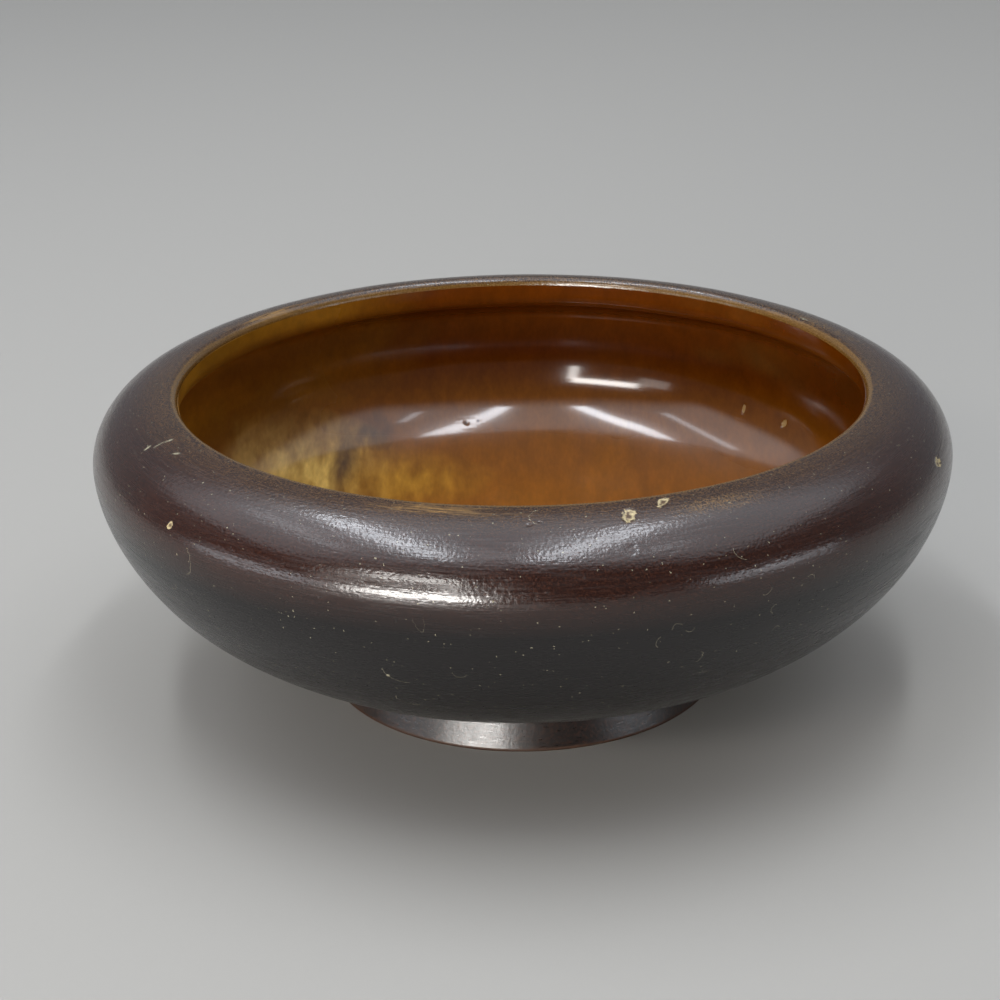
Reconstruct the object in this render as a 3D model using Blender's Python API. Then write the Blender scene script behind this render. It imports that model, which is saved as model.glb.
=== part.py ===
"""Turned and lacquered wooden serving bowl: a low round bowl on a flared foot, with a rim that
rolls in over the mouth. A wooden body and a glued wooden foot ring carry four lacquer films.

Metres, +Z up. The bowl stands on z = 0 and its turning axis is the Z axis.
"""
import math

import bmesh
import bpy
from mathutils import Vector

# Outside of the finished bowl
BELLY_RADIUS = 0.1060        # widest part
BELLY_RISE = 0.0496          # from the top of the foot up to the widest part
SHOULDER_RISE = 0.0159       # from the widest part up to the rim's top
RIM_INSET = 0.0191           # from the widest part in to where the rim's top ends
RIM_SLOPE = 5.0              # degrees that the rim's top falls away outwards
LIP_ROUND = 0.0021           # radius of the rounded lip between rim and mouth

# Inside of the finished bowl
LIP_BAND = 0.0030            # upright band under the rounded lip
BAND_ROUND = 0.0040          # rounding under that band
WALL = 0.0090                # wall at the widest part
FLOOR = 0.0065               # floor on the axis, above the foot's seat
UNDERCUT_SLOPE = 24.0        # degrees that the hollow falls away behind the lip band

# Foot
FOOT_RADIUS = 0.0511         # outside, where the flank would meet the table
FOOT_NECK_RADIUS = 0.0468    # outside, where it meets the belly
FOOT_HEIGHT = 0.0132
FOOT_LAND = 0.0084           # width of the ring that it stands on
FOOT_EDGE_ROUND = 0.0006     # rounding on both sides of that ring
BARE_EDGE = 0.0003           # worn wood left bare above the rounding
SPIGOT_RADIUS = 0.0375       # round boss under the body that centres the foot ring
SPIGOT_LENGTH = 0.0040

# Films and joints
OUTER_FILM = 0.0005
INNER_FILM = 0.0005
FOOT_FILM = 0.0005
BASE_FILM = 0.0005
JOINT_GAP = 0.0003           # glue line, and the clearance under every film

# How full each profile curve is: its handles as shares of the span that they cross
BELLY_ANGLE = 6.8            # degrees that the belly climbs as it leaves the foot
BELLY_FULLNESS = (0.79, 0.26)
SHOULDER_FULLNESS = (0.36, 0.77)
UNDERCUT_FULLNESS = (0.55, 0.55)
HOLLOW_FULLNESS = (0.66, 0.87)

# Fineness of the solids
TURNED_SIDES = 64
BELLY_POINTS = 12
SHOULDER_POINTS = 9
LIP_POINTS = 5
BAND_POINTS = 6
UNDERCUT_POINTS = 6
HOLLOW_POINTS = 15
EDGE_POINTS = 4
SMOOTH_ANGLE = 40.0          # degrees, past which an edge is drawn sharp

# Heights that follow from the sizes above
SEAT_Z = FOOT_HEIGHT
BELLY_Z = FOOT_HEIGHT + BELLY_RISE
RIM_Z = BELLY_Z + SHOULDER_RISE
FLOOR_Z = FOOT_HEIGHT + FLOOR
SPIGOT_Z = FOOT_HEIGHT - SPIGOT_LENGTH


class Point:
    """A place on a turned profile as (radius, height), with the direction that faces out of it."""

    def __init__(self, place, outward):
        self.place = Vector(place)
        self.outward = Vector(outward)

    def sunk(self, depth):
        """The place this far below the surface."""
        return self.place - self.outward * depth


def at_height(first, second, height):
    """The place at this height on the line through two places."""
    share = (height - first.y) / (second.y - first.y)
    return first.lerp(second, share)


def left_of(run):
    """Unit direction square to a run, on its left."""
    return Vector((-run.y, run.x)).normalized()


def arc(centre, radius, start, end, count):
    """Points on an arc from the start to the end angle, in degrees, facing away from its centre."""
    points = []
    for step in range(count):
        angle = math.radians(start + (end - start) * step / (count - 1))
        outward = Vector((math.cos(angle), math.sin(angle)))
        points.append(Point(Vector(centre) + outward * radius, outward))
    return points


def curve(start, start_handle, end_handle, end, count, turn):
    """Points on a cubic curve. A turn of +1 faces left of the way it runs, and -1 faces right."""
    start, start_handle, end_handle, end = map(Vector, (start, start_handle, end_handle, end))
    points = []
    for step in range(count):
        t = step / (count - 1)
        u = 1.0 - t
        place = start * u**3 + start_handle * 3 * u**2 * t + end_handle * 3 * u * t**2 + end * t**3
        run = (start_handle - start) * u**2 + (end_handle - start_handle) * 2 * u * t
        run += (end - end_handle) * t**2
        points.append(Point(place, left_of(run) * turn))
    return points


def slope(degrees):
    """Unit (radius, height) direction that climbs outwards by this angle."""
    angle = math.radians(degrees)
    return Vector((math.cos(angle), math.sin(angle)))


def lip_centre():
    """Centre of the rounded lip, under the inner end of the rim's top."""
    rim_end = Vector((BELLY_RADIUS - RIM_INSET, RIM_Z))
    return rim_end - slope(90.0 - RIM_SLOPE) * LIP_ROUND


def outside_profile():
    """The outside from the mouth's edge over the lip, shoulder and belly down to the foot's neck."""
    lip = arc(lip_centre(), LIP_ROUND, 180.0, 90.0 - RIM_SLOPE, LIP_POINTS)
    rim_end = lip[-1].place
    widest = Vector((BELLY_RADIUS, BELLY_Z))
    neck = Vector((FOOT_NECK_RADIUS, SEAT_Z))
    shoulder = curve(
        rim_end,
        rim_end + slope(-RIM_SLOPE) * (RIM_INSET * SHOULDER_FULLNESS[1]),
        widest + Vector((0.0, SHOULDER_RISE * SHOULDER_FULLNESS[0])),
        widest,
        SHOULDER_POINTS,
        turn=1,
    )
    belly = curve(
        widest,
        widest - Vector((0.0, BELLY_RISE * BELLY_FULLNESS[1])),
        neck + slope(BELLY_ANGLE) * ((BELLY_RADIUS - FOOT_NECK_RADIUS) * BELLY_FULLNESS[0]),
        neck,
        BELLY_POINTS,
        turn=1,
    )
    return lip + shoulder[1:] + belly[1:]


def inside_profile():
    """The inside from the mouth's edge down the lip band, behind it and over the floor to the axis."""
    mouth_edge = lip_centre() - Vector((LIP_ROUND, 0.0))
    round_centre = mouth_edge + Vector((BAND_ROUND, -LIP_BAND))
    band_round = arc(round_centre, BAND_ROUND, 180.0, 270.0 - UNDERCUT_SLOPE, BAND_POINTS)
    round_end = band_round[-1].place
    widest = Vector((BELLY_RADIUS - WALL, BELLY_Z))
    floor_centre = Vector((0.0, FLOOR_Z))
    undercut = curve(
        round_end,
        round_end + slope(-UNDERCUT_SLOPE) * ((widest.x - round_end.x) * UNDERCUT_FULLNESS[0]),
        widest + Vector((0.0, (round_end.y - widest.y) * UNDERCUT_FULLNESS[1])),
        widest,
        UNDERCUT_POINTS,
        turn=-1,
    )
    hollow = curve(
        widest,
        widest - Vector((0.0, (BELLY_Z - FLOOR_Z) * HOLLOW_FULLNESS[0])),
        floor_centre + Vector((widest.x * HOLLOW_FULLNESS[1], 0.0)),
        floor_centre,
        HOLLOW_POINTS,
        turn=-1,
    )
    into_mouth = Vector((-1.0, 0.0))
    return [Point(mouth_edge, into_mouth)] + band_round + undercut[1:] + hollow[1:]


def flank_line():
    """The foot's flared outside as a neck and a standing place, with the direction it faces."""
    neck = Vector((FOOT_NECK_RADIUS, SEAT_Z))
    stand = Vector((FOOT_RADIUS, 0.0))
    return neck, stand, left_of(stand - neck)


def bare_end():
    """The top of the foot's bare edge, on its flank just above the rounding."""
    neck, stand, outward = flank_line()
    return at_height(neck, stand, FOOT_EDGE_ROUND * (1.0 + outward.y) + BARE_EDGE)


def foot_flank():
    """The lacquered part of the flank, from a gap under the neck to a gap over the bare edge."""
    neck, stand, outward = flank_line()
    bottom_z = bare_end().y + FOOT_FILM * outward.y + JOINT_GAP
    top = at_height(neck, stand, SEAT_Z - JOINT_GAP)
    bottom = at_height(neck, stand, bottom_z)
    return Point(top, outward), Point(bottom, outward)


def film(points, thickness):
    """Closed (radius, height) outline of a film of this thickness under the points."""
    outer = [point.place for point in points]
    inner = [point.sunk(thickness) for point in points]
    return outer + inner[::-1]


def turned(name, outline, material):
    """A named solid made by turning an outline once about the axis. An outline that starts and ends
    on the axis is left open there, and any other is closed."""
    on_axis = outline[0].x == 0.0 and outline[-1].x == 0.0
    bm = bmesh.new()
    corners = [bm.verts.new((place.x, 0.0, place.y)) for place in outline]
    pairs = list(zip(corners, corners[1:]))
    if not on_axis:
        pairs.append((corners[-1], corners[0]))
    edges = [bm.edges.new(pair) for pair in pairs]
    bmesh.ops.spin(
        bm,
        geom=corners + edges,
        cent=(0.0, 0.0, 0.0),
        axis=(0.0, 0.0, 1.0),
        angle=2.0 * math.pi,
        steps=TURNED_SIDES,
        use_merge=True,
    )
    bmesh.ops.remove_doubles(bm, verts=bm.verts, dist=1e-6)
    bmesh.ops.recalc_face_normals(bm, faces=bm.faces)
    mesh = bpy.data.meshes.new(name)
    bm.to_mesh(mesh)
    bm.free()
    mesh.materials.append(material)
    mesh.shade_smooth()
    mesh.set_sharp_from_angle(angle=math.radians(SMOOTH_ANGLE))
    solid = bpy.data.objects.new(name, mesh)
    bpy.context.scene.collection.objects.link(solid)
    return solid


def finish(name, colour, roughness, coat=0.0):
    """A Principled BSDF material."""
    material = bpy.data.materials.new(name)
    material.use_nodes = True
    shader = material.node_tree.nodes["Principled BSDF"]
    shader.inputs["Base Color"].default_value = (*colour, 1.0)
    shader.inputs["Roughness"].default_value = roughness
    shader.inputs["Metallic"].default_value = 0.0
    shader.inputs["Coat Weight"].default_value = coat
    return material


def bowl_body(material):
    """The wooden core: it carries the films, and a spigot under it centres the foot ring."""
    outer_depth = OUTER_FILM + JOINT_GAP
    inner_depth = INNER_FILM + JOINT_GAP
    seat_radius = FOOT_NECK_RADIUS - outer_depth
    outside = [point.sunk(outer_depth) for point in outside_profile()]
    inside = [point.sunk(inner_depth) for point in inside_profile()]
    underside = [
        Vector((seat_radius, outside[-1].y)),
        Vector((seat_radius, SEAT_Z)),
        Vector((SPIGOT_RADIUS, SEAT_Z)),
        Vector((SPIGOT_RADIUS, SPIGOT_Z)),
        Vector((0.0, SPIGOT_Z)),
    ]
    return turned("bowl_body", inside[::-1] + outside + underside, material)


def outer_lacquer(material):
    """The dark film over the lip, shoulder and belly."""
    return turned("outer_lacquer", film(outside_profile(), OUTER_FILM), material)


def inner_lacquer(material):
    """The clear amber film on the lip band, wall and floor. It stops a gap short of the dark film."""
    points = inside_profile()
    points[0].place.y -= JOINT_GAP
    outline = film(points, INNER_FILM)
    return turned("inner_lacquer", outline, material)


def recess_wall():
    """The foot ring's inside, from the spigot down to the inner rounding of the ring it stands on."""
    top = Vector((SPIGOT_RADIUS + JOINT_GAP, SPIGOT_Z))
    bottom = Vector((FOOT_RADIUS - FOOT_LAND, FOOT_EDGE_ROUND))
    inward = left_of(top - bottom)
    return Point(top, inward), Point(bottom, inward)


def standing_edge():
    """The bottom of the foot ring, rounded from its inside over the flat land to its flank."""
    wall_end = recess_wall()[1].place
    outward = flank_line()[2]
    flare = math.degrees(math.atan2(outward.y, outward.x))
    inner_centre = wall_end + Vector((FOOT_EDGE_ROUND, 0.0))
    outer_inset = FOOT_EDGE_ROUND * (1.0 + outward.y) / outward.x
    outer_centre = Vector((FOOT_RADIUS - outer_inset, FOOT_EDGE_ROUND))
    inner_round = arc(inner_centre, FOOT_EDGE_ROUND, 180.0, 270.0, EDGE_POINTS)
    outer_round = arc(outer_centre, FOOT_EDGE_ROUND, 270.0, 360.0 + flare, EDGE_POINTS)
    return [point.place for point in inner_round + outer_round]


def foot_ring(material):
    """The turned wooden ring glued round the spigot, with a bare edge where it stands."""
    wood_top, wood_end = [point.sunk(FOOT_FILM + JOINT_GAP) for point in foot_flank()]
    bore = recess_wall()[0].place
    rebate_z = bare_end().y
    top_z = SEAT_Z - JOINT_GAP
    outline = standing_edge() + [
        bare_end(),
        at_height(wood_top, wood_end, rebate_z),
        at_height(wood_top, wood_end, top_z),
        Vector((bore.x, top_z)),
        bore,
    ]
    return turned("foot_ring", outline, material)


def foot_lacquer(material):
    """The dark film on the foot's flank."""
    return turned("foot_lacquer", film(foot_flank(), FOOT_FILM), material)


def base_lacquer(material):
    """The dark film in the hollow under the bowl: under the spigot and down the foot ring's inside."""
    wall_top, wall_end = recess_wall()
    skirt_end_z = foot_flank()[1].place.y
    faces = []
    for depth in (JOINT_GAP, JOINT_GAP + BASE_FILM):
        top, bottom = wall_top.sunk(-depth), wall_end.sunk(-depth)
        ceiling_z = SPIGOT_Z - depth
        faces.append([
            Vector((0.0, ceiling_z)),
            at_height(top, bottom, ceiling_z),
            at_height(top, bottom, skirt_end_z),
        ])
    back, face = faces
    return turned("base_lacquer", back + face[::-1], material)


def clear_scene():
    """Remove whatever the file already holds."""
    for thing in list(bpy.data.objects):
        bpy.data.objects.remove(thing, do_unlink=True)


def main():
    clear_scene()
    bowl = bpy.data.objects.new("serving_bowl", None)
    bpy.context.scene.collection.objects.link(bowl)
    pieces = [
        bowl_body(finish("turned_wood", (0.42, 0.25, 0.11), 0.60)),
        foot_ring(finish("foot_wood", (0.38, 0.21, 0.09), 0.60)),
        outer_lacquer(finish("dark_lacquer", (0.016, 0.009, 0.006), 0.24, 1.0)),
        inner_lacquer(finish("amber_lacquer", (0.15, 0.060, 0.012), 0.16, 1.0)),
        foot_lacquer(finish("dark_foot_lacquer", (0.018, 0.010, 0.007), 0.28, 1.0)),
        base_lacquer(finish("dark_base_lacquer", (0.016, 0.010, 0.008), 0.40)),
    ]
    for piece in pieces:
        piece.parent = bowl


main()
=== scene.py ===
"""Turned wooden serving bowl, dark lacquer outside and amber lacquer inside, dressed around its
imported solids. Metres, +Z up; the bowl stands on z = 0 and its turning axis is the Z axis.
"""

import math

import bmesh
import bpy
from mathutils import Matrix, Vector, noise


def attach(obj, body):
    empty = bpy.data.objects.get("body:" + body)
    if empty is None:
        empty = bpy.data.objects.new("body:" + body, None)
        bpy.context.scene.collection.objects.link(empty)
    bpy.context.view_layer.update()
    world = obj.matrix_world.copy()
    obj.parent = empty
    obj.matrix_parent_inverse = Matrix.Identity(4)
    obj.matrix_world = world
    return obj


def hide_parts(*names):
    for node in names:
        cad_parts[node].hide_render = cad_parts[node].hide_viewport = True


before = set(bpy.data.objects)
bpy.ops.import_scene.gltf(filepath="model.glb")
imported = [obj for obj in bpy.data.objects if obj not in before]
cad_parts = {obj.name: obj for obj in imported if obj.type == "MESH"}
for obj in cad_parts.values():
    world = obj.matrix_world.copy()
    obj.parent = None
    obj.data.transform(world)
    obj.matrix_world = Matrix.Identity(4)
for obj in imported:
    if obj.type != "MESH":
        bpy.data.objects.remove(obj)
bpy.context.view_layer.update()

MM = 0.001

# Outside of the bowl, as in its solids
BELLY_RADIUS = 0.1060
BELLY_RISE = 0.0496
SHOULDER_RISE = 0.0159
RIM_INSET = 0.0191
RIM_SLOPE = 5.0
LIP_ROUND = 0.0021
BELLY_ANGLE = 6.8
BELLY_FULLNESS = (0.79, 0.26)
SHOULDER_FULLNESS = (0.36, 0.77)

# Inside
LIP_BAND = 0.0030
BAND_ROUND = 0.0040
WALL = 0.0090
FLOOR = 0.0065
UNDERCUT_SLOPE = 24.0
UNDERCUT_FULLNESS = (0.55, 0.55)
HOLLOW_FULLNESS = (0.66, 0.87)

# Foot
FOOT_RADIUS = 0.0511
FOOT_NECK_RADIUS = 0.0468
FOOT_HEIGHT = 0.0132
FOOT_LAND = 0.0084
FOOT_EDGE_ROUND = 0.0006
BARE_EDGE = 0.0003
SPIGOT_RADIUS = 0.0375
SPIGOT_LENGTH = 0.0040

FILM = 0.0005
JOINT_GAP = 0.0003

BELLY_Z = FOOT_HEIGHT + BELLY_RISE
RIM_Z = BELLY_Z + SHOULDER_RISE
FLOOR_Z = FOOT_HEIGHT + FLOOR
SPIGOT_Z = FOOT_HEIGHT - SPIGOT_LENGTH

SKIN_STEPS = 360             # steps of a film round the axis
WOOD_STEPS = 128             # steps of the wood behind the films
WOOD_FINENESS = 0.5          # share of a film's profile points that the wood behind it has
SMOOTH_ANGLE = 40.0

# Points along each stretch of a film's profile
LIP_POINTS = 9
SHOULDER_POINTS = 28
BELLY_POINTS = 46
BAND_POINTS = 6
BAND_ROUND_POINTS = 9
UNDERCUT_POINTS = 16
HOLLOW_POINTS = 56
FLANK_POINTS = 13
FOOT_EDGE_POINTS = 6

# Slow unevenness of the films as (height, length, seed), in millimetres
OUTSIDE_WAVER = (0.12, 24.0, 3.0)
INSIDE_WAVER = (0.36, 30.0, 8.0)

# Edges of the chips, dents and wrinkles
MARK_CUTS = 4                # cuts that make the mesh fine enough for a mark
MARK_MARGIN = 1.0            # millimetres of finer mesh round a mark
DENT_EDGE = 0.35             # share of a dent's half size over which its side falls
DENT_RAGGEDNESS = (0.35, 0.7)    # how far its outline wanders, and over how many millimetres
DENT_GRIT = (0.4, 0.4)       # how uneven its bottom is, and over how many millimetres
WRINKLE_LENGTH = 0.9         # millimetres

# Chips and dents as (place, half length, half width, turn in degrees, depth), in millimetres
RIM_CHIPS = (
    ((21.9, -89.7, 77.8), 2.6, 1.5, 78.0, 0.22),
    ((29.4, -84.4, 78.4), 2.3, 0.9, 55.0, 0.16),
    ((96.2, -40.1, 69.4), 1.9, 0.8, 67.0, 0.20),
    ((-76.8, -70.9, 68.7), 1.1, 0.8, 30.0, 0.16),
)
RIM_DENTS = (
    ((22.1, -98.2, 73.6), 1.5, 1.5, 0.0, 0.10),
    ((1.5, -93.5, 77.4), 0.9, 0.7, 30.0, 0.10),
    ((3.6, -92.6, 77.6), 0.6, 0.5, 0.0, 0.08),
)
HOLLOW_CHIPS = (
    ((74.0, 57.0, 43.4), 1.5, 0.9, 20.0, 0.18),
    ((63.8, 68.5, 43.8), 1.5, 0.6, 60.0, 0.10),
)
HOLLOW_PITS = (
    ((-16.4, 84.7, 34.6), 1.0, 0.8, 0.0, 0.06),
    ((-12.8, 85.7, 34.9), 0.7, 0.6, 0.0, 0.05),
)

# Crinkled film on the shoulder as (place, reach, height), in millimetres
CRINKLES = (
    ((-5.3, -104.5, 68.6), 5.0, 0.05),
    ((4.5, -103.8, 68.0), 4.0, 0.04),
)

# Rubbed patches on the rim as (place, half length, half width, turn in degrees), in millimetres
STREAKY_PATCHES = (
    ((-17.0, -87.2, 78.5), 20.0, 2.8, -10.0),
    ((-68.0, 53.0, 78.3), 26.0, 3.0, 52.0),
)
GRAINY_PATCHES = (
    ((41.0, -83.0, 78.1), 15.0, 3.6, 26.0),
    ((79.0, 38.5, 78.3), 32.0, 4.0, -64.0),
)

# Pale scuffs on the rim as (place, half length, half width, turn in degrees), in millimetres
SCUFFS = (
    ((-85.8, -43.6, 76.7), 1.3, 0.5, 35.0),
    ((-83.0, -43.8, 77.2), 1.8, 0.4, 30.0),
    ((-80.6, -43.0, 77.6), 1.6, 0.5, 25.0),
    ((-78.0, -50.5, 77.6), 1.5, 0.4, -20.0),
    ((-70.0, 60.0, 77.6), 1.6, 0.6, 45.0),
    ((76.0, 42.0, 77.6), 2.4, 0.6, -60.0),
)

# Hair scratches as (place, half length, half width, turn in degrees), in millimetres
HAIR_SCRATCHES = (
    ((4.0, -91.0, 78.0), 2.6, 2.6, 190.0),
    ((-22.0, -103.7, 62.8), 5.0, 1.2, 75.0),
    ((-26.5, -97.3, 45.6), 2.6, 3.5, 125.0),
    ((-13.3, -101.2, 47.9), 2.2, 1.6, 100.0),
    ((-24.6, -90.9, 36.3), 2.4, 3.2, 120.0),
    ((-73.5, -77.0, 62.5), 2.0, 3.4, 5.0),
    ((-77.4, -70.4, 54.4), 1.2, 1.8, 30.0),
    ((31.8, -100.3, 56.6), 1.5, 1.3, 250.0),
    ((34.4, -99.6, 56.4), 1.1, 1.0, 80.0),
    ((28.3, -100.5, 53.8), 1.0, 1.6, 190.0),
    ((36.3, -95.3, 47.9), 1.2, 1.8, 20.0),
    ((38.9, -91.6, 43.3), 1.4, 1.1, 110.0),
    ((50.8, -93.0, 61.9), 1.0, 1.4, 60.0),
    ((52.9, -90.9, 56.5), 1.0, 1.2, 210.0),
    ((60.8, -86.8, 61.4), 1.0, 1.1, 300.0),
    ((53.7, -87.9, 50.1), 1.4, 1.0, 260.0),
    ((45.1, -93.1, 70.6), 1.2, 2.0, 130.0),
)
HAIR_WIDTH = 0.045           # half width of a scratch, in millimetres


def linear(code):
    """Linear RGBA of an sRGB hex colour."""
    shares = [int(code[at:at + 2], 16) / 255.0 for at in (1, 3, 5)]
    return [s / 12.92 if s <= 0.04045 else ((s + 0.055) / 1.055) ** 2.4 for s in shares] + [1.0]


# Profiles, as places of (radius, height)

def slope(degrees):
    """The direction that rises by this angle."""
    angle = math.radians(degrees)
    return Vector((math.cos(angle), math.sin(angle)))


def arc(centre, radius, start, end, count):
    """Places round part of a circle, between two angles in degrees."""
    angles = [start + (end - start) * step / (count - 1) for step in range(count)]
    return [Vector(centre) + slope(angle) * radius for angle in angles]


def curve(start, start_handle, end_handle, end, count):
    """Places along a smooth curve between two ends, drawn by their handles."""
    start, start_handle, end_handle, end = map(Vector, (start, start_handle, end_handle, end))
    places = []
    for step in range(count):
        t = step / (count - 1)
        u = 1.0 - t
        places.append(start * u**3 + start_handle * 3 * u**2 * t + end_handle * 3 * u * t**2 + end * t**3)
    return places


def lip_centre():
    """The middle of the lip's rounding, which the shoulder meets at the rim's slope."""
    return Vector((BELLY_RADIUS - RIM_INSET, RIM_Z)) - slope(90.0 - RIM_SLOPE) * LIP_ROUND


def outside_profile(fineness=1.0):
    """From the mouth's edge over the lip, shoulder and belly to the foot's neck."""
    lip = arc(lip_centre(), LIP_ROUND, 180.0, 90.0 - RIM_SLOPE, round(LIP_POINTS * fineness))
    widest = Vector((BELLY_RADIUS, BELLY_Z))
    neck = Vector((FOOT_NECK_RADIUS, FOOT_HEIGHT))
    shoulder = curve(
        lip[-1],
        lip[-1] + slope(-RIM_SLOPE) * (RIM_INSET * SHOULDER_FULLNESS[1]),
        widest + Vector((0.0, SHOULDER_RISE * SHOULDER_FULLNESS[0])),
        widest,
        round(SHOULDER_POINTS * fineness),
    )
    belly = curve(
        widest,
        widest - Vector((0.0, BELLY_RISE * BELLY_FULLNESS[1])),
        neck + slope(BELLY_ANGLE) * ((BELLY_RADIUS - FOOT_NECK_RADIUS) * BELLY_FULLNESS[0]),
        neck,
        round(BELLY_POINTS * fineness),
    )
    return lip + shoulder[1:] + belly[1:]


def inside_profile(fineness=1.0):
    """From the mouth's edge down the lip band, behind it and over the floor to the axis."""
    mouth_edge = lip_centre() - Vector((LIP_ROUND, 0.0))
    band = curve(
        mouth_edge,
        mouth_edge - Vector((0.0, LIP_BAND / 3.0)),
        mouth_edge - Vector((0.0, LIP_BAND * 2.0 / 3.0)),
        mouth_edge - Vector((0.0, LIP_BAND)),
        round(BAND_POINTS * fineness),
    )
    round_centre = mouth_edge + Vector((BAND_ROUND, -LIP_BAND))
    round_points = round(BAND_ROUND_POINTS * fineness)
    band_round = arc(round_centre, BAND_ROUND, 180.0, 270.0 - UNDERCUT_SLOPE, round_points)
    round_end = band_round[-1]
    widest = Vector((BELLY_RADIUS - WALL, BELLY_Z))
    floor_centre = Vector((0.0, FLOOR_Z))
    undercut = curve(
        round_end,
        round_end + slope(-UNDERCUT_SLOPE) * ((widest.x - round_end.x) * UNDERCUT_FULLNESS[0]),
        widest + Vector((0.0, (round_end.y - widest.y) * UNDERCUT_FULLNESS[1])),
        widest,
        round(UNDERCUT_POINTS * fineness),
    )
    hollow = curve(
        widest,
        widest - Vector((0.0, (BELLY_Z - FLOOR_Z) * HOLLOW_FULLNESS[0])),
        floor_centre + Vector((widest.x * HOLLOW_FULLNESS[1], 0.0)),
        floor_centre,
        round(HOLLOW_POINTS * fineness),
    )
    return band + band_round[1:] + undercut[1:] + hollow[1:]


def flank(height):
    """The place at this height on the foot's flared outside."""
    neck = Vector((FOOT_NECK_RADIUS, FOOT_HEIGHT))
    return Vector((FOOT_RADIUS, 0.0)).lerp(neck, height / FOOT_HEIGHT)


def recess(height):
    """The place at this height on the foot's inside."""
    top = Vector((SPIGOT_RADIUS + JOINT_GAP, SPIGOT_Z))
    bottom = Vector((FOOT_RADIUS - FOOT_LAND, FOOT_EDGE_ROUND))
    return bottom.lerp(top, (height - bottom.y) / (top.y - bottom.y))


# Shaping

def turned(profile, steps):
    """A skin made by turning a profile once about the axis."""
    bm = bmesh.new()
    corners = [bm.verts.new((place.x, 0.0, place.y)) for place in profile]
    edges = [bm.edges.new(pair) for pair in zip(corners, corners[1:])]
    bmesh.ops.spin(
        bm,
        geom=corners + edges,
        cent=(0.0, 0.0, 0.0),
        axis=(0.0, 0.0, 1.0),
        angle=2.0 * math.pi,
        steps=steps,
        use_merge=True,
    )
    bmesh.ops.remove_doubles(bm, verts=bm.verts, dist=1e-7)
    bmesh.ops.recalc_face_normals(bm, faces=bm.faces)
    return bm


def face_towards(bm, place, outward):
    """Turn a skin over where the face nearest to this place doesn't look outward."""
    nearest = min(bm.faces, key=lambda face: (face.calc_center_median() - place).length)
    if nearest.normal.dot(outward) < 0.0:
        bmesh.ops.reverse_faces(bm, faces=bm.faces)
    bm.normal_update()


def waver(bm, height, length, seed):
    """The slow unevenness of a hand-rubbed surface: this high, over this length, in millimetres."""
    shift = Vector((seed, seed * 2.3, seed * 3.7))
    lifts = [height * MM * noise.noise(vert.co / (length * MM) + shift) for vert in bm.verts]
    moves = [vert.normal * lift for vert, lift in zip(bm.verts, lifts)]
    for vert, move in zip(bm.verts, moves):
        vert.co += move
    bm.normal_update()


def refine(bm, place, reach):
    """Make the mesh finer round a place."""
    near = [face for face in bm.faces if (face.calc_center_median() - place).length < reach]
    edges = {edge for face in near for edge in face.edges}
    bmesh.ops.subdivide_edges(bm, edges=list(edges), cuts=MARK_CUTS, use_grid_fill=True)
    bm.normal_update()


def dent(bm, place, half_length, half_width, turn, depth):
    """Sink an oval pit with a steep, uneven edge. Sizes are in millimetres."""
    place = Vector(place) * MM
    reach = half_length * MM * 2.0
    refine(bm, place, reach + MARK_MARGIN * MM)
    to_local = Matrix.Rotation(-math.radians(turn), 3, "Z")
    half_sizes = Vector((half_length, half_width, half_length)) * MM
    raggedness, ragged_length = DENT_RAGGEDNESS
    grit, grit_length = DENT_GRIT
    for vert in bm.verts:
        offset = vert.co - place
        if offset.length > reach:
            continue
        local = to_local @ offset
        away = Vector([a / b for a, b in zip(local, half_sizes)]).length
        away += raggedness * noise.noise(vert.co / (ragged_length * MM))
        sunk = min(max((1.0 - away) / DENT_EDGE, 0.0), 1.0)
        bottom = 1.0 + grit * noise.noise(vert.co / (grit_length * MM))
        vert.co -= vert.normal * (depth * MM * sunk * bottom)


def crinkle(bm, place, reach, height):
    """Raise fine uneven wrinkles in a round patch. Sizes are in millimetres."""
    place = Vector(place) * MM
    refine(bm, place, reach * MM)
    for vert in bm.verts:
        fade = 1.0 - (vert.co - place).length / (reach * MM)
        if fade > 0.0:
            vert.co += vert.normal * (height * MM * fade * noise.noise(vert.co / (WRINKLE_LENGTH * MM)))


def skin_piece(bm, thickness):
    """Give a skin its thickness, behind the side that shows."""
    bmesh.ops.solidify(bm, geom=bm.faces[:], thickness=thickness)


def piece(name, bm, material, node):
    """A finished piece that stands for a solid of the bowl."""
    mesh = bpy.data.meshes.new(name)
    bm.to_mesh(mesh)
    bm.free()
    mesh.materials.append(material)
    mesh.shade_smooth()
    mesh.set_sharp_from_angle(angle=math.radians(SMOOTH_ANGLE))
    thing = bpy.data.objects.new(name, mesh)
    bpy.context.scene.collection.objects.link(thing)
    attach(thing, "root")
    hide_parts(node)
    return thing


# Finishes
NOISE = "ShaderNodeTexNoise"
RANGE = "ShaderNodeMapRange"
MATH = "ShaderNodeMath"
VECTOR = "ShaderNodeVectorMath"
MIX = "ShaderNodeMix"
BUMP = "ShaderNodeBump"


def feed(node, inputs):
    """Give a node its inputs, each a link from another node or a value of its own."""
    for name, value in inputs.items():
        if isinstance(value, bpy.types.NodeSocket):
            node.id_data.links.new(value, node.inputs[name])
        else:
            node.inputs[name].default_value = value


def add(tree, kind, inputs, out=0, **settings):
    """Add a node, and return one of its outputs."""
    node = tree.nodes.new(kind)
    for name, value in settings.items():
        setattr(node, name, value)
    feed(node, inputs)
    return node.outputs[out]


def new_finish(name):
    """A new material, with its nodes, its shader and the place on the piece that patterns follow."""
    material = bpy.data.materials.new(name)
    material.use_nodes = True
    tree = material.node_tree
    shader = tree.nodes["Principled BSDF"]
    place = add(tree, "ShaderNodeTexCoord", {}, "Object")
    return material, tree, shader, place


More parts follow.
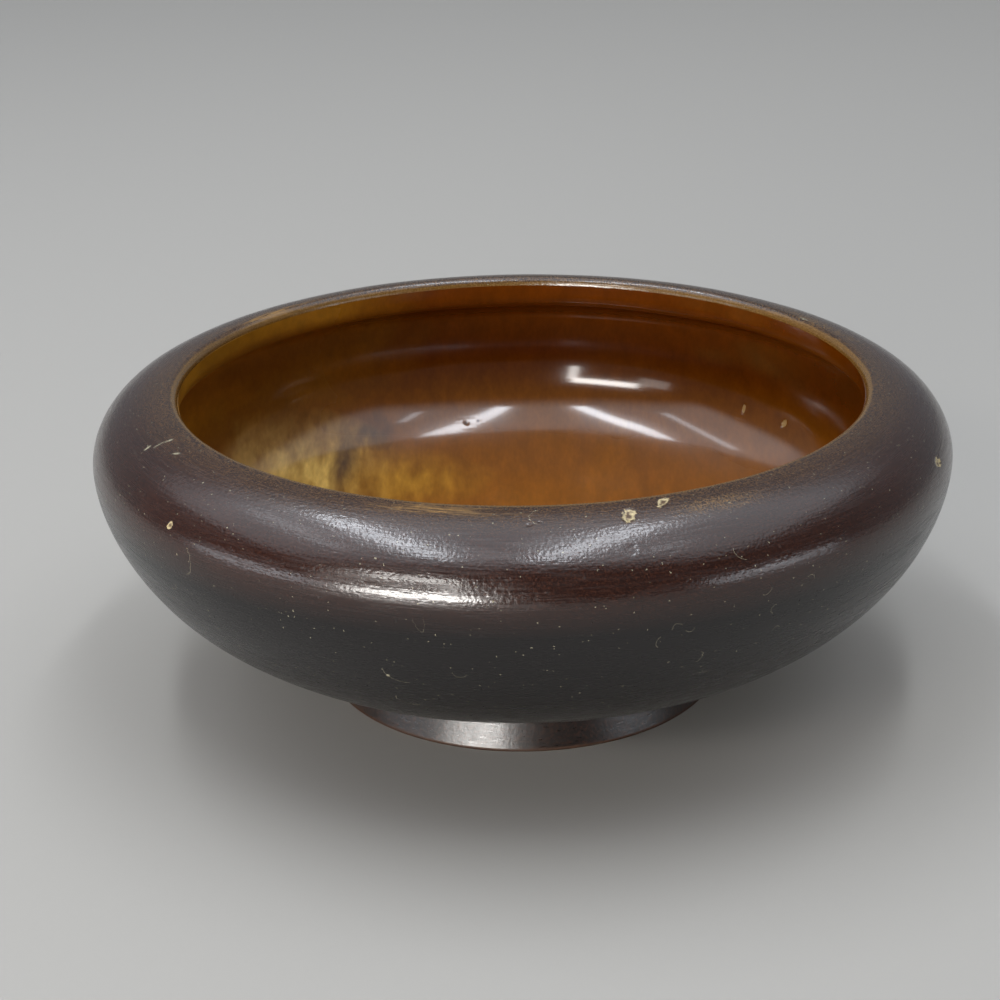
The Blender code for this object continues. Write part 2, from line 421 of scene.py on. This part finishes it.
def around(tree, place):
    """The radius from the turning axis, the height, and the direction from the axis."""
    x, y, height = add(tree, "ShaderNodeSeparateXYZ", {0: place}).node.outputs
    flat = add(tree, "ShaderNodeCombineXYZ", {0: x, 1: y})
    radius = add(tree, VECTOR, {0: flat}, "Value", operation="LENGTH")
    direction = add(tree, VECTOR, {0: flat}, operation="NORMALIZE")
    return radius, height, direction


def streaks(tree, turning, width, length, detail):
    """Noise drawn out round the axis: streaks this wide and this long."""
    radius, height, direction = turning
    along = add(tree, VECTOR, {0: direction, 3: BELLY_RADIUS / length}, operation="SCALE")
    across = add(tree, MATH, {0: radius, 1: 1.0 / width}, operation="MULTIPLY")
    lift = add(tree, "ShaderNodeCombineXYZ", {2: across})
    where = add(tree, VECTOR, {0: along, 1: lift}, operation="ADD")
    up = add(tree, MATH, {0: height, 1: 1.0 / width}, operation="MULTIPLY")
    inputs = {"Vector": where, "W": up, "Scale": 1.0, "Detail": detail}
    return add(tree, NOISE, inputs, noise_dimensions="4D")


def oval(tree, place, centre, half_sizes, turns):
    """Places measured from the middle of an oval, in its half sizes. Sizes are in millimetres."""
    inputs = {
        "Vector": place,
        "Location": [value * MM for value in centre],
        "Rotation": [math.radians(turn) for turn in turns],
        "Scale": [value * MM for value in half_sizes],
    }
    return add(tree, "ShaderNodeMapping", inputs, vector_type="TEXTURE")


def spot(tree, place, ragged, centre, half_sizes, turn, unevenness, softness):
    """A mask that is 1 inside an uneven oval and 0 outside it."""
    local = oval(tree, place, centre, half_sizes, (0.0, 0.0, turn))
    away = add(tree, VECTOR, {0: local}, "Value", operation="LENGTH")
    uneven = add(tree, MATH, {0: ragged, 1: unevenness, 2: away}, operation="MULTIPLY_ADD")
    edge = 1.0 + unevenness * 0.5
    return add(tree, RANGE, {"Value": uneven, "From Min": edge, "From Max": edge - softness})


def hair(tree, place, ragged, centre, half_length, half_width, turn):
    """A mask along one bent side of an oval: a hair-thin curved scratch."""
    local = oval(tree, place, centre, (half_length, half_length, half_width), (0.0, turn, 0.0))
    away = add(tree, VECTOR, {0: local}, "Value", operation="LENGTH")
    wandering = add(tree, MATH, {0: ragged, 1: 0.4, 2: away}, operation="MULTIPLY_ADD")
    on_line = add(tree, MATH, {0: wandering, 1: 1.2, 2: HAIR_WIDTH / half_length}, operation="COMPARE")
    side = add(tree, "ShaderNodeSeparateXYZ", {0: local})
    one_side = add(tree, MATH, {0: side, 1: 0.3}, operation="GREATER_THAN")
    return add(tree, MATH, {0: on_line, 1: one_side}, operation="MULTIPLY")


def either(tree, masks):
    """The highest of several masks."""
    top = masks[0]
    for mask in masks[1:]:
        top = add(tree, MATH, {0: top, 1: mask}, operation="MAXIMUM")
    return top


def specks(tree, place, spacing, size, share):
    """Small round specks, scattered this far apart, on this share of the places."""
    cells = add(tree, "ShaderNodeTexVoronoi", {"Vector": place, "Scale": 1.0 / spacing}).node.outputs
    near = {"Value": cells["Distance"], "From Min": size / spacing, "From Max": 0.5 * size / spacing}
    dots = add(tree, RANGE, near)
    pick = add(tree, "ShaderNodeSeparateColor", {0: cells["Color"]})
    kept = add(tree, MATH, {0: pick, 1: share}, operation="LESS_THAN")
    return add(tree, MATH, {0: dots, 1: kept}, operation="MULTIPLY")


def dark_lacquer():
    """Dark brown urushi, brushed on and rubbed down: near black with a red-brown grain, a satin gloss
    that breaks into fine specks, worn to ochre ground along the rim, with dust specks and scratches;
    painted shade turns the lower belly near black.
    Wiping marks and dust grit are finer than a tenth of a millimetre on the real film, and are drawn
    about half a millimetre wide here so that they show."""
    material, tree, shader, place = new_finish("rubbed dark urushi lacquer")
    turning = around(tree, place)
    radius, height, direction = turning
    ragged = add(tree, NOISE, {"Vector": place, "Scale": 1.0 / (1.0 * MM), "Detail": 5.0})
    cloud = add(tree, NOISE, {"Vector": place, "Scale": 1.0 / (26 * MM), "Detail": 4.0})
    grain = add(tree, NOISE, {"Vector": place, "Scale": 1.0 / (0.4 * MM), "Detail": 3.0})
    rubbing = streaks(tree, turning, 0.5 * MM, 5.0 * MM, 1.0)
    fibres = streaks(tree, turning, 0.45 * MM, 9.0 * MM, 4.0)
    pebble = add(tree, NOISE, {"Vector": place, "Scale": 1.0 / (0.8 * MM), "Detail": 1.0})

    depth = add(tree, MIX, {0: cloud, 6: linear("#140906"), 7: linear("#2a120b")}, 2, data_type="RGBA")
    thin = add(tree, RANGE, {"Value": grain, "From Min": 0.45, "From Max": 0.80, "To Max": 0.8})
    brown = add(tree, MIX, {0: thin, 6: depth, 7: linear("#46271a")}, 2, data_type="RGBA")
    # Painted shade: below the widest part the colour is painted near black (#080404), darker towards the
    # bottom of the belly; above it, on the shoulder and rim, the same mask gives the film its extra coat of
    # polish from handling.
    polished_and_unshaded = add(tree, RANGE, {"Value": height, "From Min": 57 * MM, "From Max": 66 * MM})
    ground = add(tree, MIX, {0: polished_and_unshaded, 6: linear("#080404"), 7: brown}, 2, data_type="RGBA")

    to_front = {0: direction, 1: (0.0, 1.0 * MM, 0.0)}
    more_worn = add(tree, VECTOR, to_front, "Value", operation="DOT_PRODUCT")
    worn_radius = add(tree, MATH, {0: radius, 1: more_worn}, operation="ADD")
    lip_line = add(tree, MATH, {0: fibres, 1: 1.0 * MM, 2: worn_radius}, operation="MULTIPLY_ADD")
    mouth_radius = BELLY_RADIUS - RIM_INSET - LIP_ROUND
    lip_reach = mouth_radius + 1.4 * MM
    at_lip = {"Value": lip_line, "From Min": lip_reach + 0.4 * MM, "From Max": lip_reach}
    lip_edge = add(tree, RANGE, at_lip)
    up_high = add(tree, MATH, {0: height, 1: BELLY_Z}, operation="GREATER_THAN")
    lip_wear = add(tree, MATH, {0: lip_edge, 1: up_high}, operation="MULTIPLY")
    streaky = add(tree, RANGE, {"Value": fibres, "From Min": 0.40, "From Max": 0.60})
    grainy = add(tree, RANGE, {"Value": grain, "From Min": 0.42, "From Max": 0.72})
    near_lip = {"Value": radius, "From Min": mouth_radius + 12 * MM, "From Max": mouth_radius + 2 * MM}
    thin_film = add(tree, RANGE, near_lip | {"To Max": 0.38})
    thin_rim = add(tree, MATH, {0: thin_film, 1: up_high}, operation="MULTIPLY")
    rubbed = [add(tree, MATH, {0: thin_rim, 1: grainy}, operation="MULTIPLY")]
    for wear, patches in ((streaky, STREAKY_PATCHES), (grainy, GRAINY_PATCHES)):
        spots = [
            spot(tree, place, ragged, centre, (length, width, width), turn, 1.2, 1.0)
            for centre, length, width, turn in patches
        ]
        rubbed.append(add(tree, MATH, {0: either(tree, spots), 1: wear}, operation="MULTIPLY"))
    patchy = either(tree, rubbed)
    edged = add(tree, MIX, {0: lip_wear, 6: ground, 7: linear("#62461e")}, 2, data_type="RGBA")
    worn = add(tree, MIX, {0: patchy, 6: edged, 7: linear("#8f6a30")}, 2, data_type="RGBA")

    chipped = either(tree, [
        spot(tree, place, ragged, centre, (length, width, length), turn, 2.0, 0.3)
        for centre, length, width, turn, _ in RIM_CHIPS
    ])
    cored = either(tree, [
        spot(tree, place, ragged, centre, (0.65 * length, 0.65 * width, 0.65 * length), turn, 2.4, 0.6)
        for centre, length, width, turn, _ in RIM_CHIPS
    ])
    pale = add(tree, MIX, {0: cored, 6: linear("#b5a47b"), 7: linear("#4e361c")}, 2, data_type="RGBA")
    bared = add(tree, MIX, {0: chipped, 6: worn, 7: pale}, 2, data_type="RGBA")
    scratched = either(tree, [hair(tree, place, ragged, *scratch) for scratch in HAIR_SCRATCHES])
    faint = add(tree, MATH, {0: scratched, 1: 0.55}, operation="MULTIPLY")
    frayed = add(tree, NOISE, {"Vector": place, "Scale": 1.0 / (0.7 * MM), "Detail": 2.0}, "Color")
    lint_place = add(tree, VECTOR, {0: frayed, 1: (0.9 * MM,) * 3, 2: place}, operation="MULTIPLY_ADD")
    dust = [
        specks(tree, lint_place, 1.5 * MM, 0.18 * MM, 0.5),
        specks(tree, lint_place, 6.0 * MM, 0.30 * MM, 0.5),
        specks(tree, place, 17.0 * MM, 0.55 * MM, 0.5),
    ]
    scuffed = either(tree, [
        spot(tree, place, ragged, centre, (length, width, length), turn, 1.8, 0.6)
        for centre, length, width, turn in SCUFFS
    ])
    marked = either(tree, dust + [faint, scuffed])
    colour = add(tree, MIX, {0: marked, 6: bared, 7: linear("#8f8973")}, 2, data_type="RGBA")

    satin = {"Value": fibres, "From Min": 0.35, "From Max": 0.70, "To Min": 0.18, "To Max": 0.34}
    dull = add(tree, RANGE, satin)
    freckled = specks(tree, lint_place, 2.4 * MM, 0.36 * MM, 0.6)
    bare = either(tree, [chipped, patchy, freckled])
    rough = add(tree, MIX, {0: bare, 2: dull, 3: 0.5}, data_type="FLOAT")
    wiped = add(tree, BUMP, {"Height": rubbing, "Distance": 0.03 * MM})
    gritty = add(tree, BUMP, {"Height": pebble, "Distance": 0.05 * MM, "Normal": wiped})
    polish = add(tree, MATH, {0: polished_and_unshaded, 1: 0.34}, operation="MULTIPLY")
    feed(shader, {"Base Color": colour, "Roughness": rough, "Normal": gritty, "IOR": 1.55})
    feed(shader, {"Coat Weight": polish, "Coat Roughness": 0.09, "Coat Normal": gritty})
    return material


def amber_lacquer():
    """Clear amber urushi over turned figured wood: a deep gloss, a little wavy, over brown heartwood
    with golden mottled sapwood on one side, a dark vein through it, and painted shade that darkens the lip
    band and the wall under the rim."""
    material, tree, shader, place = new_finish("amber urushi lacquer on figured wood")
    x, _, height = add(tree, "ShaderNodeSeparateXYZ", {0: place}).node.outputs
    ragged = add(tree, NOISE, {"Vector": place, "Scale": 1.0 / (1.0 * MM), "Detail": 5.0})
    cloud = add(tree, NOISE, {"Vector": place, "Scale": 1.0 / (30 * MM), "Detail": 4.0, "Distortion": 0.6})
    grain_turn = (0.0, math.radians(12.0), math.radians(24.0))
    grain = {"Vector": place, "Rotation": grain_turn, "Scale": (1.0, 0.3, 0.6)}
    grain_place = add(tree, "ShaderNodeMapping", grain)
    quilting = {"Vector": grain_place, "Scale": 1.0 / (4 * MM), "Detail": 3.0, "Distortion": 0.2}
    mottle = add(tree, NOISE, quilting)
    fibre = add(tree, NOISE, {"Vector": grain_place, "Scale": 1.0 / (0.9 * MM), "Detail": 3.0})

    leaning = add(tree, MATH, {0: cloud, 1: -60 * MM, 2: x}, operation="MULTIPLY_ADD")
    toned = add(tree, RANGE, {"Value": leaning, "From Min": -56 * MM, "From Max": -120 * MM})
    # Painted shade: on the right the upper wall is a darker red-brown for the shadow under the rim, while on
    # the left it is golden sapwood. Lower down the wall blends into its lighter lit colour.
    upper = add(tree, MIX, {0: toned, 6: linear("#632d00"), 7: linear("#b07c1c")}, 2, data_type="RGBA")
    lower = add(tree, MIX, {0: cloud, 6: linear("#6e3c06"), 7: linear("#88510e")}, 2, data_type="RGBA")
    lowness = add(tree, MATH, {0: cloud, 1: 12 * MM, 2: height}, operation="MULTIPLY_ADD")
    out_of_wall_shade = add(tree, RANGE, {"Value": lowness, "From Min": 61 * MM, "From Max": 46 * MM})
    heartwood_and_wall_shade = add(tree, MIX, {0: out_of_wall_shade, 6: upper, 7: lower}, 2, data_type="RGBA")
    quilted = add(tree, RANGE, {"Value": mottle, "From Min": 0.30, "From Max": 0.70})
    quilt = add(tree, MIX, {0: quilted, 6: linear("#a4761e"), 7: linear("#e4bc62")}, 2, data_type="RGBA")
    golden = either(tree, [
        spot(tree, place, cloud, (-61.0, 54.0, 33.0), (30.0, 23.0, 18.0), 40.0, 1.2, 1.0),
        spot(tree, place, cloud, (-76.0, 16.0, 35.0), (30.0, 15.0, 18.0), 78.0, 1.2, 1.0),
    ])
    sapwood = add(tree, MIX, {0: golden, 6: heartwood_and_wall_shade, 7: quilt}, 2, data_type="RGBA")
    amber = add(tree, MIX, {0: quilted, 6: linear("#8c5c0e"), 7: linear("#b28026")}, 2, data_type="RGBA")
    orange = spot(tree, place, cloud, (-31.0, 60.0, 27.0), (26.0, 18.0, 14.0), 5.0, 1.2, 1.0)
    warmed = add(tree, MIX, {0: orange, 6: sapwood, 7: amber}, 2, data_type="RGBA")
    vein = either(tree, [
        spot(tree, place, mottle, (-51.0, 62.5, 31.5), (17.0, 4.4, 16.0), 80.0, 1.0, 1.2),
        spot(tree, place, mottle, (-43.0, 75.5, 35.4), (11.0, 5.5, 8.0), 40.0, 1.2, 1.3),
    ])
    veined = add(tree, MIX, {0: vein, 6: warmed, 7: linear("#3e261c")}, 2, data_type="RGBA")
    fine_lines = {"Value": fibre, "From Min": 0.35, "From Max": 0.65, "To Min": 0.92, "To Max": 1.06}
    lines = add(tree, RANGE, fine_lines)
    blotches = {"Value": mottle, "From Min": 0.3, "From Max": 0.7, "To Min": 0.86, "To Max": 1.12}
    blotch = add(tree, RANGE, blotches)
    # Painted shade: the wall just under the lip is darkened to 0.8 of its colour and the lip band to 0.74,
    # standing in for the shadow of the rim and the lighting of the band.
    under_lip = {"Value": height, "From Min": 53 * MM, "From Max": 60 * MM, "To Min": 1.0, "To Max": 0.8}
    shaded = add(tree, RANGE, under_lip)
    on_band = add(tree, RANGE, {"Value": height, "From Min": 67 * MM, "From Max": 71 * MM})
    painted_lip_shade = add(tree, MIX, {0: on_band, 2: shaded, 3: 0.74}, data_type="FLOAT")
    # The wood's figure is multiplied by this painted shade, and the product scales the colour.
    figure = add(tree, MATH, {0: lines, 1: blotch}, operation="MULTIPLY")
    shade = add(tree, MATH, {0: figure, 1: painted_lip_shade}, operation="MULTIPLY")
    grained_and_shaded = add(tree, VECTOR, {0: veined, 3: shade}, operation="SCALE")
    chipped = either(tree, [
        spot(tree, place, ragged, centre, (length, width, length), turn, 0.9, 0.25)
        for centre, length, width, turn, _ in HOLLOW_CHIPS
    ])
    bared = add(tree, MIX, {0: chipped, 6: grained_and_shaded, 7: linear("#b08c58")}, 2, data_type="RGBA")
    pitted = either(tree, [
        spot(tree, place, ragged, centre, (length, width, length), turn, 0.9, 0.9)
        for centre, length, width, turn, _ in HOLLOW_PITS
    ])
    colour = add(tree, MIX, {0: pitted, 6: bared, 7: linear("#54402f")}, 2, data_type="RGBA")

    uneven = add(tree, MATH, {0: cloud, 1: 10 * MM, 2: height}, operation="MULTIPLY_ADD")
    used = {"Value": uneven, "From Min": 31 * MM, "From Max": 43 * MM, "To Min": 0.42, "To Max": 0.15}
    gloss = add(tree, RANGE, used)
    dulled = either(tree, [pitted, add(tree, MATH, {0: toned, 1: 0.85}, operation="MULTIPLY")])
    rough = add(tree, MIX, {0: dulled, 2: gloss, 3: 0.45}, data_type="FLOAT")
    sealed = {"Value": uneven, "From Min": 32 * MM, "From Max": 39 * MM, "To Min": 0.15, "To Max": 1.0}
    clear = add(tree, MIX, {0: dulled, 2: add(tree, RANGE, sealed), 3: 0.05}, data_type="FLOAT")
    grit = add(tree, NOISE, {"Vector": place, "Scale": 1.0 / (0.6 * MM), "Detail": 2.0})
    bump = add(tree, BUMP, {"Height": grit, "Distance": 0.010 * MM})
    feed(shader, {"Base Color": colour, "Roughness": rough, "Normal": bump, "IOR": 1.6})
    feed(shader, {"Specular IOR Level": 0.25, "Coat Weight": clear, "Coat Roughness": 0.09})
    return material


def plain_dark_lacquer(name, roughness, coat):
    """The same dark urushi on the foot and under it, with fewer coats and more handling."""
    material, tree, shader, place = new_finish(name)
    turning = around(tree, place)
    height = turning[1]
    rubbing = streaks(tree, turning, 0.5 * MM, 5 * MM, 3.0)
    cloud = add(tree, NOISE, {"Vector": place, "Scale": 1.0 / (18 * MM), "Detail": 4.0})
    grain = add(tree, NOISE, {"Vector": place, "Scale": 1.0 / (0.8 * MM), "Detail": 3.0})
    thin = add(tree, RANGE, {"Value": grain, "From Min": 0.45, "From Max": 0.75})
    depth = add(tree, MIX, {0: thin, 6: linear("#140c08"), 7: linear("#3a2216")}, 2, data_type="RGBA")
    worn_line = add(tree, MATH, {0: cloud, 1: 1.6 * MM, 2: height}, operation="MULTIPLY_ADD")
    worn = add(tree, RANGE, {"Value": worn_line, "From Min": 2.0 * MM, "From Max": 1.4 * MM})
    colour = add(tree, MIX, {0: worn, 6: depth, 7: linear("#3c2412")}, 2, data_type="RGBA")
    dull = {"Value": rubbing, "From Min": 0.3, "From Max": 0.7}
    rough = add(tree, RANGE, dull | {"To Min": roughness - 0.05, "To Max": roughness + 0.07})
    bump = add(tree, BUMP, {"Height": rubbing, "Distance": 0.03 * MM})
    gritty = add(tree, BUMP, {"Height": grain, "Distance": 0.04 * MM, "Normal": bump})
    feed(shader, {"Base Color": colour, "Roughness": rough, "Normal": gritty, "IOR": 1.6})
    feed(shader, {"Coat Weight": coat, "Coat Roughness": 0.14})
    return material


def turned_wood(name, light, dark):
    """Turned hardwood in long fibres, dry and matt where it is bare."""
    material, tree, shader, place = new_finish(name)
    grain = {"Vector": place, "Rotation": (0.0, 0.0, math.radians(24.0)), "Scale": (1.0, 0.08, 0.6)}
    grain_place = add(tree, "ShaderNodeMapping", grain)
    fibre = add(tree, NOISE, {"Vector": grain_place, "Scale": 1.0 / (1.0 * MM), "Detail": 4.0})
    colour = add(tree, MIX, {0: fibre, 6: linear(dark), 7: linear(light)}, 2, data_type="RGBA")
    rough = add(tree, RANGE, {"Value": fibre, "To Min": 0.5, "To Max": 0.7})
    bump = add(tree, BUMP, {"Height": fibre, "Distance": 0.02 * MM})
    feed(shader, {"Base Color": colour, "Roughness": rough, "Normal": bump})
    return material


# Pieces

def outer_coat():
    """The dark film over the lip, shoulder and belly, with its chips, dents and wrinkles."""
    bm = turned(outside_profile(), SKIN_STEPS)
    face_towards(bm, Vector((BELLY_RADIUS, 0.0, BELLY_Z)), Vector((1.0, 0.0, 0.0)))
    waver(bm, *OUTSIDE_WAVER)
    for place, half_length, half_width, turn, depth in RIM_CHIPS + RIM_DENTS:
        dent(bm, place, half_length, half_width, turn, depth)
    for place, reach, height in CRINKLES:
        crinkle(bm, place, reach, height)
    skin_piece(bm, FILM)
    return piece("outer_coat", bm, dark_lacquer(), "outer_lacquer")


def inner_coat():
    """The amber film on the lip band, the undercut wall and the floor, with its chips and pits."""
    bm = turned(inside_profile(), SKIN_STEPS)
    face_towards(bm, Vector((0.0, 0.0, FLOOR_Z)), Vector((0.0, 0.0, 1.0)))
    waver(bm, *INSIDE_WAVER)
    for place, half_length, half_width, turn, depth in HOLLOW_CHIPS + HOLLOW_PITS:
        dent(bm, place, half_length, half_width, turn, depth)
    skin_piece(bm, FILM)
    return piece("inner_coat", bm, amber_lacquer(), "inner_lacquer")


def foot_coat():
    """The dark film on the flank of the foot, ending above the bare standing edge."""
    top = FOOT_HEIGHT
    bottom = FOOT_EDGE_ROUND + BARE_EDGE
    last = FLANK_POINTS - 1
    profile = [flank(top + (bottom - top) * step / last) for step in range(FLANK_POINTS)]
    bm = turned(profile, SKIN_STEPS)
    face_towards(bm, Vector((FOOT_RADIUS, 0.0, 0.5 * FOOT_HEIGHT)), Vector((1.0, 0.0, 0.0)))
    skin_piece(bm, FILM)
    material = plain_dark_lacquer("dark urushi lacquer on the foot", 0.31, 0.05)
    return piece("foot_coat", bm, material, "foot_lacquer")


def base_coat():
    """The dark film in the hollow under the bowl, inside the foot."""
    ceiling_z = SPIGOT_Z - JOINT_GAP - FILM
    inset = JOINT_GAP + FILM
    wall_top = recess(ceiling_z) - Vector((inset, 0.0))
    wall_end = recess(FOOT_EDGE_ROUND + BARE_EDGE + JOINT_GAP) - Vector((inset, 0.0))
    profile = [Vector((0.0, ceiling_z)), wall_top, wall_end]
    bm = turned(profile, SKIN_STEPS)
    face_towards(bm, Vector((0.0, 0.0, ceiling_z)), Vector((0.0, 0.0, -1.0)))
    skin_piece(bm, FILM)
    material = plain_dark_lacquer("dark urushi lacquer under the bowl", 0.40, 0.0)
    return piece("base_coat", bm, material, "base_lacquer")


def foot_wood():
    """The foot ring, bare where it stands and set back behind its films."""
    edge = FOOT_EDGE_ROUND
    bare_top = edge + BARE_EDGE
    inset = Vector((FILM + JOINT_GAP, 0.0))
    wall_end = recess(edge)
    top_z = FOOT_HEIGHT - JOINT_GAP
    profile = [wall_end]
    profile += arc(wall_end + Vector((edge, 0.0)), edge, 180.0, 270.0, FOOT_EDGE_POINTS)[1:]
    profile += arc(flank(edge) - Vector((edge, 0.0)), edge, 270.0, 360.0, FOOT_EDGE_POINTS)
    profile += [flank(bare_top), flank(bare_top) - inset, flank(top_z) - inset]
    profile += [Vector((SPIGOT_RADIUS + JOINT_GAP, top_z)), recess(SPIGOT_Z)]
    bm = turned(profile + profile[:1], SKIN_STEPS)
    material = turned_wood("worn turned hardwood of the foot", "#4a2e18", "#22130a")
    return piece("foot_wood", bm, material, "foot_ring")


def body_wood():
    """The wooden core behind the films, with the seat and the spigot that the foot ring fits."""
    depth = FILM + JOINT_GAP
    outside = outside_profile(WOOD_FINENESS)
    inside = inside_profile(WOOD_FINENESS)
    bm = turned(inside[::-1] + outside[1:], WOOD_STEPS)
    face_towards(bm, Vector((BELLY_RADIUS, 0.0, BELLY_Z)), Vector((1.0, 0.0, 0.0)))
    moves = [vert.normal * -depth for vert in bm.verts]
    for vert, move in zip(bm.verts, moves):
        vert.co += move
    rim = [edge for edge in bm.edges if edge.is_boundary]
    for height, radius in ((FOOT_HEIGHT, None), (FOOT_HEIGHT, SPIGOT_RADIUS), (SPIGOT_Z, SPIGOT_RADIUS)):
        grown = bmesh.ops.extrude_edge_only(bm, edges=rim)["geom"]
        rim = [part for part in grown if isinstance(part, bmesh.types.BMEdge)]
        for vert in {vert for edge in rim for vert in edge.verts}:
            flat = Vector((vert.co.x, vert.co.y, 0.0))
            if radius is not None:
                flat *= radius / flat.length
            vert.co = flat + Vector((0.0, 0.0, height))
    bmesh.ops.contextual_create(bm, geom=rim)
    bmesh.ops.recalc_face_normals(bm, faces=bm.faces)
    material = turned_wood("turned hardwood of the body", "#9a6c3c", "#6a4424")
    return piece("body_wood", bm, material, "bowl_body")


# Studio
BOWL_MIDDLE = (0.0, 0.0, 0.06)
FLOOR_REACH = 40.0
CEILING_HEIGHT = 1.34
LIGHT_TINT = (0.93, 0.98, 1.05)
WINDOW_TINT = (1.0, 0.97, 0.93)
CEILING_RADIANCE = 1.06
CEILING_EDGES = (
    ("along", -0.85, -0.40),
    ("along", 1.20, 0.50),
    ("across", -1.70, -1.25),
    ("across", 1.30, 0.90),
)


def studio_floor():
    """A plain pale floor."""
    bm = bmesh.new()
    bmesh.ops.create_grid(bm, x_segments=2, y_segments=2, size=FLOOR_REACH)
    mesh = bpy.data.meshes.new("floor")
    bm.to_mesh(mesh)
    bm.free()
    material = bpy.data.materials.new("pale matt floor")
    material.use_nodes = True
    shader = material.node_tree.nodes["Principled BSDF"]
    shader.inputs["Base Color"].default_value = linear("#a8a5a0")
    shader.inputs["Roughness"].default_value = 0.9
    shader.inputs["Specular IOR Level"].default_value = 0.2
    mesh.materials.append(material)
    floor = bpy.data.objects.new("floor", mesh)
    bpy.context.scene.collection.objects.link(floor)


def softbox(name, place, aim, size, radiance, spin=0.0, tint=LIGHT_TINT, spread=180.0):
    """A flat light of this width and length that looks at a point. A grid can narrow its spread."""
    light = bpy.data.lights.new(name, "AREA")
    light.shape = "RECTANGLE"
    light.size, light.size_y = size
    light.color = tint
    light.spread = math.radians(spread)
    half = 0.5 * light.spread
    light.energy = radiance * math.pi * size[0] * size[1] * (1.0 - half / math.tan(half))
    lamp = bpy.data.objects.new(name, light)
    back = (Vector(place) - Vector(aim)).to_track_quat("Z", "Y")
    turn = back.to_matrix().to_4x4() @ Matrix.Rotation(math.radians(spin), 4, "Z")
    lamp.matrix_world = Matrix.Translation(place) @ turn
    lamp.visible_camera = False
    bpy.context.scene.collection.objects.link(lamp)


def strip(name, x, y, size, radiance, spin=0.0):
    """A long light under the ceiling that looks straight down."""
    softbox(name, (x, y, CEILING_HEIGHT), (x, y, 0.0), size, radiance, spin)


def studio_light():
    """A soft bright ceiling with four strips, a window at the front left and two low fills."""
    world = bpy.data.worlds.new("studio")
    bpy.context.scene.world = world
    world.use_nodes = True
    tree = world.node_tree
    way = add(tree, "ShaderNodeTexCoord", {}, "Generated")
    x, y, z = add(tree, "ShaderNodeSeparateXYZ", {0: way}).node.outputs
    steep = add(tree, MATH, {0: z, 1: 0.05}, operation="MAXIMUM")
    across = add(tree, MATH, {0: x, 1: steep}, operation="DIVIDE")
    along = add(tree, MATH, {0: y, 1: steep}, operation="DIVIDE")
    glow = add(tree, RANGE, {"Value": z, "From Min": 0.2, "From Max": 0.3})
    for value, dark, bright in CEILING_EDGES:
        level = across if value == "across" else along
        edge = {"Value": level, "From Min": dark, "From Max": bright}
        soft_edge = add(tree, RANGE, edge, interpolation_type="SMOOTHSTEP")
        glow = add(tree, MATH, {0: glow, 1: soft_edge}, operation="MULTIPLY")
    ahead = add(tree, RANGE, {"Value": y, "From Min": -0.3, "From Max": 0.5, "To Min": 0.07, "To Max": 0.22})
    horizon = add(tree, RANGE, {"Value": z, "From Min": 0.20, "From Max": 0.04, "To Max": 0.09})
    low = add(tree, MATH, {0: ahead, 1: horizon}, operation="MAXIMUM")
    level = add(tree, MATH, {0: glow, 1: CEILING_RADIANCE, 2: low}, operation="MULTIPLY_ADD")
    feed(tree.nodes["Background"], {"Strength": level, "Color": (*LIGHT_TINT, 1.0)})

    strip("strip_left", -0.43, 0.04, (0.10, 1.22), 15.0, 7.1)
    strip("strip_right", 0.22, -0.075, (0.10, 1.11), 12.8, -10.4)
    strip("strip_far_left", -0.87, 0.07, (0.09, 0.95), 4.0)
    strip("strip_far_right", 0.61, -0.37, (0.08, 0.32), 4.0)
    window = {"tint": WINDOW_TINT}
    low_aim = (-0.181, 0.083, 0.06)
    softbox("window_low", (-0.711, -1.299, 0.165), low_aim, (0.88, 0.22), 43.0, spread=60.0, **window)
    softbox("window_high", (-0.636, -1.147, 0.787), BOWL_MIDDLE, (0.53, 0.15), 17.0, **window)
    softbox("window_side", (-0.43, -1.364, 0.576), BOWL_MIDDLE, (0.09, 0.38), 12.0, **window)
    softbox("window_far", (-0.95, -0.94, 0.62), BOWL_MIDDLE, (0.26, 0.22), 2.0, **window)
    softbox("left_fill", (-1.44, -0.58, 0.16), BOWL_MIDDLE, (1.1, 0.20), 4.0, spread=70.0)
    softbox("right_fill", (1.37, -0.73, 0.16), BOWL_MIDDLE, (1.0, 0.20), 3.8, spread=70.0)


# Camera, from a fit to the photographed outlines
CAMERA_PLACE = (0.0, -0.47165, 0.23828)
CAMERA_PITCH = 22.3192
CAMERA_YAW = -0.6883
CAMERA_ROLL = -0.912
CAMERA_LENS = 72.0
CAMERA_SENSOR = 36.0


def studio_camera():
    """The camera at the photograph's place, aimed by its pitch, yaw and roll."""
    pitch, yaw, roll = (math.radians(angle) for angle in (CAMERA_PITCH, CAMERA_YAW, CAMERA_ROLL))
    level = math.cos(pitch)
    ahead = Vector((math.sin(yaw) * level, math.cos(yaw) * level, -math.sin(pitch)))
    right = ahead.cross(Vector((0.0, 0.0, 1.0))).normalized()
    up = right.cross(ahead)
    x_axis = right * math.cos(roll) + up * math.sin(roll)
    y_axis = up * math.cos(roll) - right * math.sin(roll)
    camera = bpy.data.cameras.new("camera")
    camera.sensor_width = CAMERA_SENSOR
    camera.lens = CAMERA_LENS
    camera.clip_start = 0.01
    view = bpy.data.objects.new("camera", camera)
    turn = Matrix((x_axis, y_axis, -ahead)).transposed().to_4x4()
    view.matrix_world = Matrix.Translation(CAMERA_PLACE) @ turn
    bpy.context.scene.collection.objects.link(view)
    bpy.context.scene.camera = view


outer_coat()
inner_coat()
foot_coat()
base_coat()
foot_wood()
body_wood()
studio_floor()
studio_light()
studio_camera()
bpy.context.scene.view_settings.view_transform = "Standard"

bpy.context.view_layer.update()
